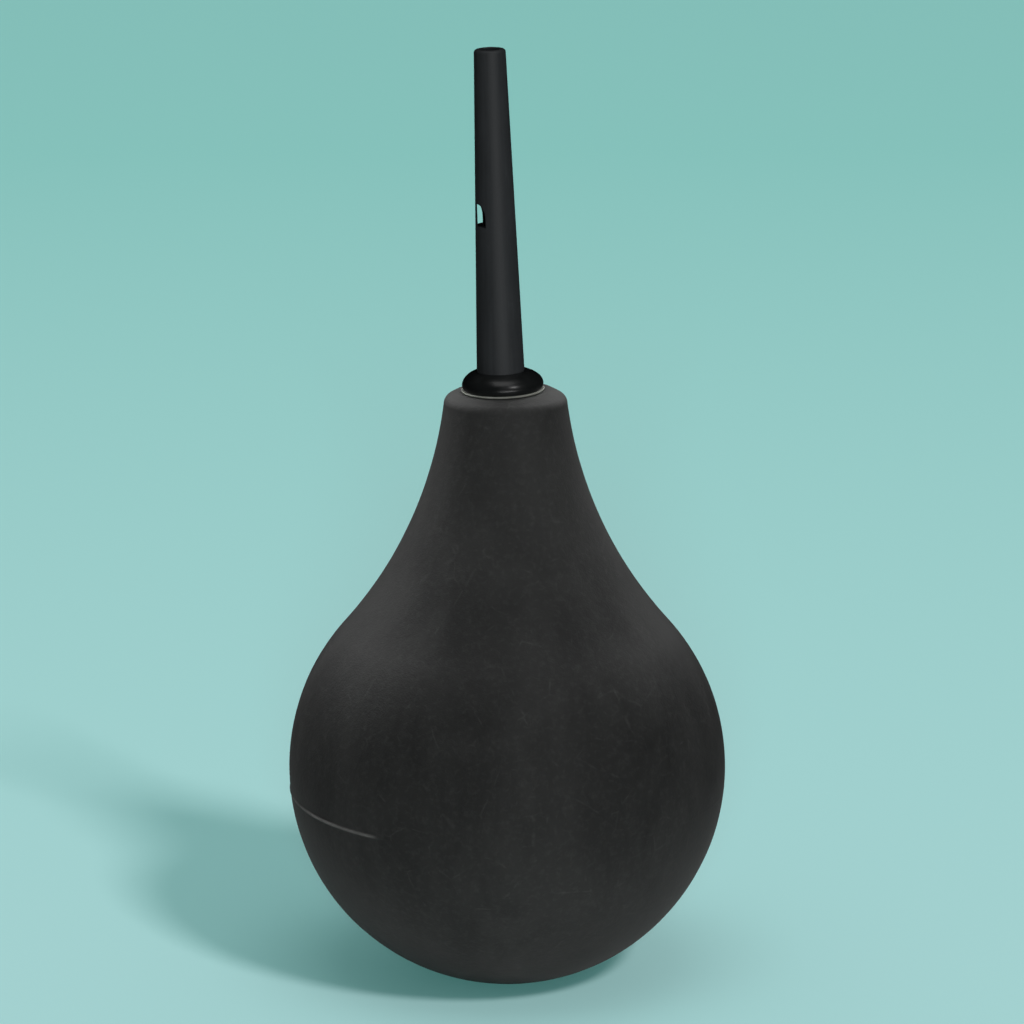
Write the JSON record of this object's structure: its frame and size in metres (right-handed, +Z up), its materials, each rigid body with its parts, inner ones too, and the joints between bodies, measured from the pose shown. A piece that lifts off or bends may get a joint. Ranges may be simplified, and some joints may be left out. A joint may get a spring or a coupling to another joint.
{
  "type": "squeeze bulb air blower",
  "caption": "Pear-shaped black rubber squeeze bulb on a flat foot, with a glossy domed collar and a long tapered nozzle that has a side port.",
  "frame": {"origin": "centre of the flat foot, on the surface the bulb stands on", "axes": "+Z up along the bulb's axis towards the nozzle; -Y is the front; the nozzle leans towards -X, the side its port is on"},
  "size_m": [0.0822, 0.0822, 0.1757],
  "materials": {
    "bulb_rubber": "black rubber, satin, with a fine moulded grain",
    "washer_silicone": "pale grey silicone, satin",
    "collar_plastic": "black, glossy",
    "nozzle_plastic": "black with a slight blue cast, satin"
  },
  "bodies": {
    "bulb": {"bulb": "bulb_rubber"},
    "mouth_seat": {"mouth_washer": "washer_silicone"},
    "collar": {"collar": "collar_plastic"},
    "nozzle": {"nozzle_tube": "nozzle_plastic"}
  },
  "joints": [
    {"name": "bulb_squeeze", "type": "slide", "parent": "bulb", "child": "mouth_seat", "axis": [0, 0, -1], "range_m": [0, 0.026], "stiffness_N_per_m": 1500, "deforming": ["bulb"]},
    {"name": "collar_pull", "type": "slide", "parent": "mouth_seat", "child": "collar", "axis": [-0.0288, 0, 0.9996], "range_m": [0, 0.02]},
    {"name": "nozzle_turn", "type": "hinge", "parent": "collar", "child": "nozzle", "pos_m": [-0.00081, 0, 0.11298], "axis": [-0.0288, 0, 0.9996], "continuous": true}
  ]
}
